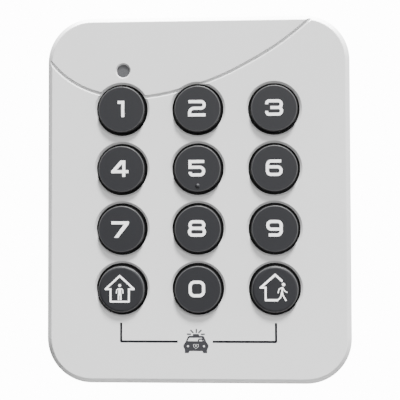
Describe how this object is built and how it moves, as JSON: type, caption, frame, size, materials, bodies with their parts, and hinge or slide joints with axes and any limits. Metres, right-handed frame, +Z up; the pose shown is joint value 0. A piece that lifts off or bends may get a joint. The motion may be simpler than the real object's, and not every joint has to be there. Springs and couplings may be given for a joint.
{
  "type": "alarm keypad panel",
  "caption": "Flat wall keypad with round proud keys for digits and arming, a status light, and a front unit that swings down onto its wall plate.",
  "frame": {"origin": "centre of the wall face of the panel, in the wall plane", "axes": "+X to the right seen from the front, +Y into the wall, +Z up; the keys face -Y"},
  "size_m": [0.0946, 0.0239, 0.1142],
  "materials": {
    "plate_plastic": "moulded, fine grain",
    "cover_plastic": "moulded, very fine grain",
    "key_plastic": "moulded, satin",
    "silicone": "matt",
    "board_laminate": "solder mask",
    "contact_carbon": "matt carbon",
    "screw_steel": "zinc plated",
    "spring_steel": "bright",
    "led_resin": "clear resin",
    "lens_plastic": "smoked",
    "holder_plastic": "moulded",
    "battery_jacket": "printed sleeve, bare of text",
    "nickel_plate": "nickel plated",
    "switch_plastic": "moulded",
    "plunger_plastic": "moulded",
    "wire_copper": "enamelled",
    "shield_tin": "tin plated",
    "chip_resin": "moulded resin"
  },
  "bodies": {
    "wall_unit": {"wall_plate": "plate_plastic", "latch_spring": "spring_steel"},
    "front_unit": {"front_cover": "cover_plastic", "keypad_membrane": "silicone", "circuit_board": "board_laminate", "key_contact_pads": "contact_carbon", "board_screws": "screw_steel", "led_emitter": "led_resin", "led_lens": "lens_plastic", "battery_holder": "holder_plastic", "battery_upper": "battery_jacket", "battery_lower": "battery_jacket", "battery_springs": "spring_steel", "battery_contacts": "nickel_plate", "tamper_housing": "switch_plastic", "tamper_spring": "spring_steel", "antenna_wire": "wire_copper", "radio_shield": "shield_tin", "controller_chip": "chip_resin", "small_parts": "chip_resin"},
    "tamper_pin": {"tamper_plunger": "plunger_plastic"},
    "key_1": {"keycap_1": "key_plastic", "contact_pill_1": "contact_carbon"},
    "key_2": {"keycap_2": "key_plastic", "contact_pill_2": "contact_carbon"},
    "key_3": {"keycap_3": "key_plastic", "contact_pill_3": "contact_carbon"},
    "key_4": {"keycap_4": "key_plastic", "contact_pill_4": "contact_carbon"},
    "key_5": {"keycap_5": "key_plastic", "contact_pill_5": "contact_carbon"},
    "key_6": {"keycap_6": "key_plastic", "contact_pill_6": "contact_carbon"},
    "key_7": {"keycap_7": "key_plastic", "contact_pill_7": "contact_carbon"},
    "key_8": {"keycap_8": "key_plastic", "contact_pill_8": "contact_carbon"},
    "key_9": {"keycap_9": "key_plastic", "contact_pill_9": "contact_carbon"},
    "key_stay": {"keycap_stay": "key_plastic", "contact_pill_stay": "contact_carbon"},
    "key_0": {"keycap_0": "key_plastic", "contact_pill_0": "contact_carbon"},
    "key_away": {"keycap_away": "key_plastic", "contact_pill_away": "contact_carbon"}
  },
  "joints": [
    {"name": "cover_swing", "type": "hinge", "parent": "wall_unit", "child": "front_unit", "pos_m": [0, -0.0022, 0.0535], "axis": [-1, 0, 0], "range_deg": [0, 25], "deforming": ["latch_spring"]},
    {"name": "tamper_slide", "type": "slide", "parent": "front_unit", "child": "tamper_pin", "axis": [0, 1, 0], "range_m": [0, 0.0012], "deforming": ["tamper_spring"]},
    {"name": "key_1_press", "type": "slide", "parent": "front_unit", "child": "key_1", "axis": [0, 1, 0], "range_m": [0, 0.001], "stiffness_N_per_m": 400, "springref_m": -0.001, "deforming": ["keypad_membrane"]},
    {"name": "key_2_press", "type": "slide", "parent": "front_unit", "child": "key_2", "axis": [0, 1, 0], "range_m": [0, 0.001], "stiffness_N_per_m": 400, "springref_m": -0.001, "deforming": ["keypad_membrane"]},
    {"name": "key_3_press", "type": "slide", "parent": "front_unit", "child": "key_3", "axis": [0, 1, 0], "range_m": [0, 0.001], "stiffness_N_per_m": 400, "springref_m": -0.001, "deforming": ["keypad_membrane"]},
    {"name": "key_4_press", "type": "slide", "parent": "front_unit", "child": "key_4", "axis": [0, 1, 0], "range_m": [0, 0.001], "stiffness_N_per_m": 400, "springref_m": -0.001, "deforming": ["keypad_membrane"]},
    {"name": "key_5_press", "type": "slide", "parent": "front_unit", "child": "key_5", "axis": [0, 1, 0], "range_m": [0, 0.001], "stiffness_N_per_m": 400, "springref_m": -0.001, "deforming": ["keypad_membrane"]},
    {"name": "key_6_press", "type": "slide", "parent": "front_unit", "child": "key_6", "axis": [0, 1, 0], "range_m": [0, 0.001], "stiffness_N_per_m": 400, "springref_m": -0.001, "deforming": ["keypad_membrane"]},
    {"name": "key_7_press", "type": "slide", "parent": "front_unit", "child": "key_7", "axis": [0, 1, 0], "range_m": [0, 0.001], "stiffness_N_per_m": 400, "springref_m": -0.001, "deforming": ["keypad_membrane"]},
    {"name": "key_8_press", "type": "slide", "parent": "front_unit", "child": "key_8", "axis": [0, 1, 0], "range_m": [0, 0.001], "stiffness_N_per_m": 400, "springref_m": -0.001, "deforming": ["keypad_membrane"]},
    {"name": "key_9_press", "type": "slide", "parent": "front_unit", "child": "key_9", "axis": [0, 1, 0], "range_m": [0, 0.001], "stiffness_N_per_m": 400, "springref_m": -0.001, "deforming": ["keypad_membrane"]},
    {"name": "key_stay_press", "type": "slide", "parent": "front_unit", "child": "key_stay", "axis": [0, 1, 0], "range_m": [0, 0.001], "stiffness_N_per_m": 400, "springref_m": -0.001, "deforming": ["keypad_membrane"]},
    {"name": "key_0_press", "type": "slide", "parent": "front_unit", "child": "key_0", "axis": [0, 1, 0], "range_m": [0, 0.001], "stiffness_N_per_m": 400, "springref_m": -0.001, "deforming": ["keypad_membrane"]},
    {"name": "key_away_press", "type": "slide", "parent": "front_unit", "child": "key_away", "axis": [0, 1, 0], "range_m": [0, 0.001], "stiffness_N_per_m": 400, "springref_m": -0.001, "deforming": ["keypad_membrane"]}
  ],
  "couplings": [
    {"joint": "tamper_slide", "follows": "cover_swing", "m_per_rad": 0.0027502}
  ]
}
